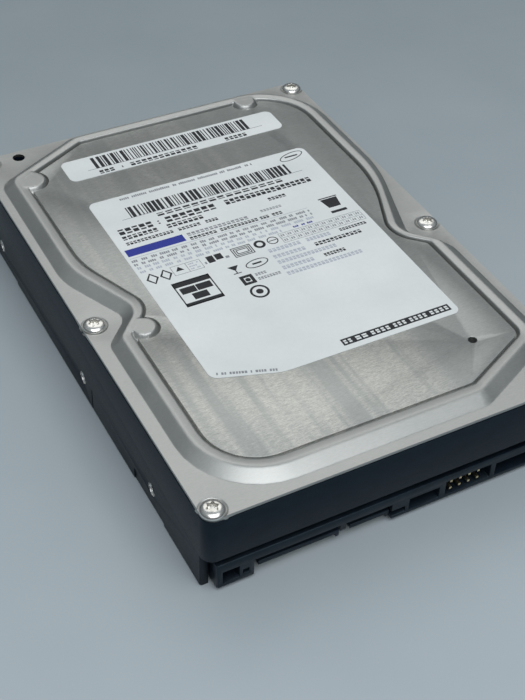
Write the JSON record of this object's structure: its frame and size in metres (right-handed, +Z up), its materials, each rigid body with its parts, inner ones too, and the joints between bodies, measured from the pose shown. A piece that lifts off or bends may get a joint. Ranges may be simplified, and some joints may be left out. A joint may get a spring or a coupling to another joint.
{
  "type": "hard disk drive",
  "caption": "3.5-inch hard disk drive: cast base, pressed steel cover over a disc pack on a spindle, swinging head arms with voice coil, circuit board and serial ATA connectors.",
  "frame": {"origin": "centre of the drive's footprint on the surface it lies on", "axes": "+Z up through the cover, +Y along the length away from the connectors, +X across the width to the right when seen from the connector end"},
  "size_m": [0.1016, 0.147, 0.0261],
  "materials": {
    "casting_paint": "cast aluminium under satin black e-coat",
    "cover_steel": "pressed and satin brushed",
    "plate_steel": "cross-brushed grain",
    "gasket_rubber": "matte",
    "screw_steel": "nickel plated",
    "label_paper": "satin coated, printed",
    "filter_cloth": "matte",
    "motor_alloy": "machined",
    "sleeve_bronze": "machined",
    "lamination": "epoxy coated",
    "copper_wire": "enamelled",
    "magnet_plate": "nickel plated",
    "polyimide": "satin",
    "disc_mirror": "polished",
    "hub_alloy": "machined",
    "clamp_steel": "pressed",
    "arm_alloy": "machined",
    "blade_steel": "etched",
    "slider_ceramic": "polished",
    "chip_black": "moulded",
    "bracket_plastic": "moulded",
    "yoke_steel": "nickel plated",
    "stop_rubber": "matte",
    "pin_steel": "ground",
    "latch_plastic": "moulded",
    "board_green": "solder mask",
    "foam": "foam sheet",
    "crystal_can": "plated can",
    "capacitor_ceramic": "fired",
    "inductor_ferrite": "ferrite",
    "diode_black": "moulded",
    "connector_plastic": "glass filled nylon",
    "contact_gold": "gold plated"
  },
  "bodies": {
    "chassis": {"base_casting": "casting_paint", "top_cover": "cover_steel", "damper_plate": "plate_steel", "cover_gasket": "gasket_rubber", "cover_screws": "screw_steel", "main_label": "label_paper", "barcode_label": "label_paper", "breather_filter": "filter_cloth", "recirculation_filter": "filter_cloth", "motor_flange": "motor_alloy", "motor_sleeve": "sleeve_bronze", "stator_core": "lamination", "stator_coils": "copper_wire", "motor_contact_strip": "polyimide", "pivot_shaft": "pin_steel", "flex_cable": "polyimide", "flex_bracket": "bracket_plastic", "header_connector": "bracket_plastic", "lower_yoke": "yoke_steel", "upper_yoke": "yoke_steel", "lower_magnet": "magnet_plate", "upper_magnet": "magnet_plate", "yoke_posts": "pin_steel", "yoke_screws": "screw_steel", "inner_crash_stop": "stop_rubber", "outer_crash_stop": "stop_rubber", "latch_pin": "pin_steel", "circuit_board": "board_green", "board_insulator": "foam", "board_screws": "screw_steel", "controller_chip": "chip_black", "memory_chip": "chip_black", "motor_driver_chip": "chip_black", "flash_chip": "chip_black", "clock_crystal": "crystal_can", "board_capacitors": "capacitor_ceramic", "board_inductors": "inductor_ferrite", "surge_diodes": "diode_black", "connector_block": "connector_plastic", "sata_contacts": "contact_gold", "jumper_pins": "contact_gold"},
    "disc_pack": {"spindle_hub": "hub_alloy", "spindle_shaft": "pin_steel", "rotor_magnet": "magnet_plate", "platter_1": "disc_mirror", "platter_2": "disc_mirror", "platter_3": "disc_mirror", "spacer_rings": "hub_alloy", "disc_clamp": "clamp_steel", "clamp_screws": "screw_steel"},
    "head_positioner": {"arm_block": "arm_alloy", "pivot_bearing": "pin_steel", "voice_coil": "copper_wire", "head_suspensions": "blade_steel", "head_sliders": "slider_ceramic", "preamp_chip": "chip_black"},
    "parking_latch": {"latch_lever": "latch_plastic"}
  },
  "joints": [
    {"name": "spindle_spin", "type": "hinge", "parent": "chassis", "child": "disc_pack", "pos_m": [0, 0.022, 0.012], "axis": [0, 0, 1], "continuous": true},
    {"name": "head_swing", "type": "hinge", "parent": "chassis", "child": "head_positioner", "pos_m": [0.024, -0.033, 0.0157], "axis": [0, 0, 1], "range_deg": [-29.5, 0], "deforming": ["flex_cable"]},
    {"name": "latch_swing", "type": "hinge", "parent": "chassis", "child": "parking_latch", "pos_m": [0.0408, -0.052, 0.0164], "axis": [0, 0, 1], "range_deg": [-14, 0]}
  ]
}
